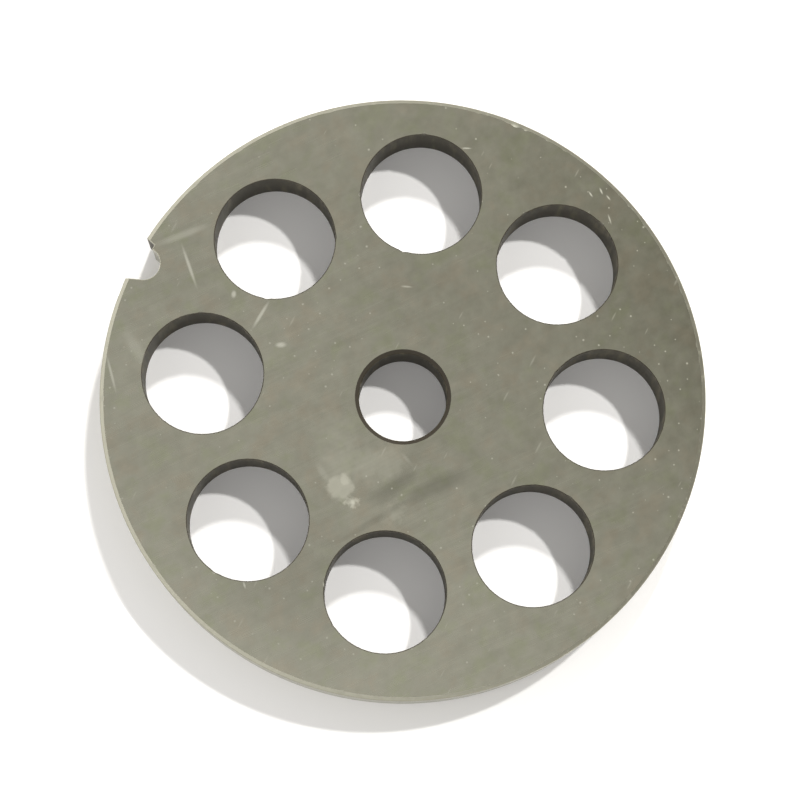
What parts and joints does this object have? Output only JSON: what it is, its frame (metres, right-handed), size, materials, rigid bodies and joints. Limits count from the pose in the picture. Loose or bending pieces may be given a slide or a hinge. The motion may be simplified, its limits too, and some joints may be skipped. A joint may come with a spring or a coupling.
{
  "type": "meat grinder plate",
  "caption": "Flat round steel plate for a meat grinder, with large round feed holes in a ring, a centre bore for the screw's journal and a locating notch in the rim.",
  "frame": {"origin": "on the centre bore's axis, in the back face", "axes": "+Z along the bore from the back face to the front face, +Y out through the middle of the locating notch"},
  "size_m": [0.07, 0.0699, 0.0075],
  "materials": {
    "plate_steel": "dull grey ground steel with fine straight grinding marks, small nicks and a greyish olive cast"
  },
  "bodies": {
    "root": {"plate": "plate_steel"}
  },
  "joints": []
}
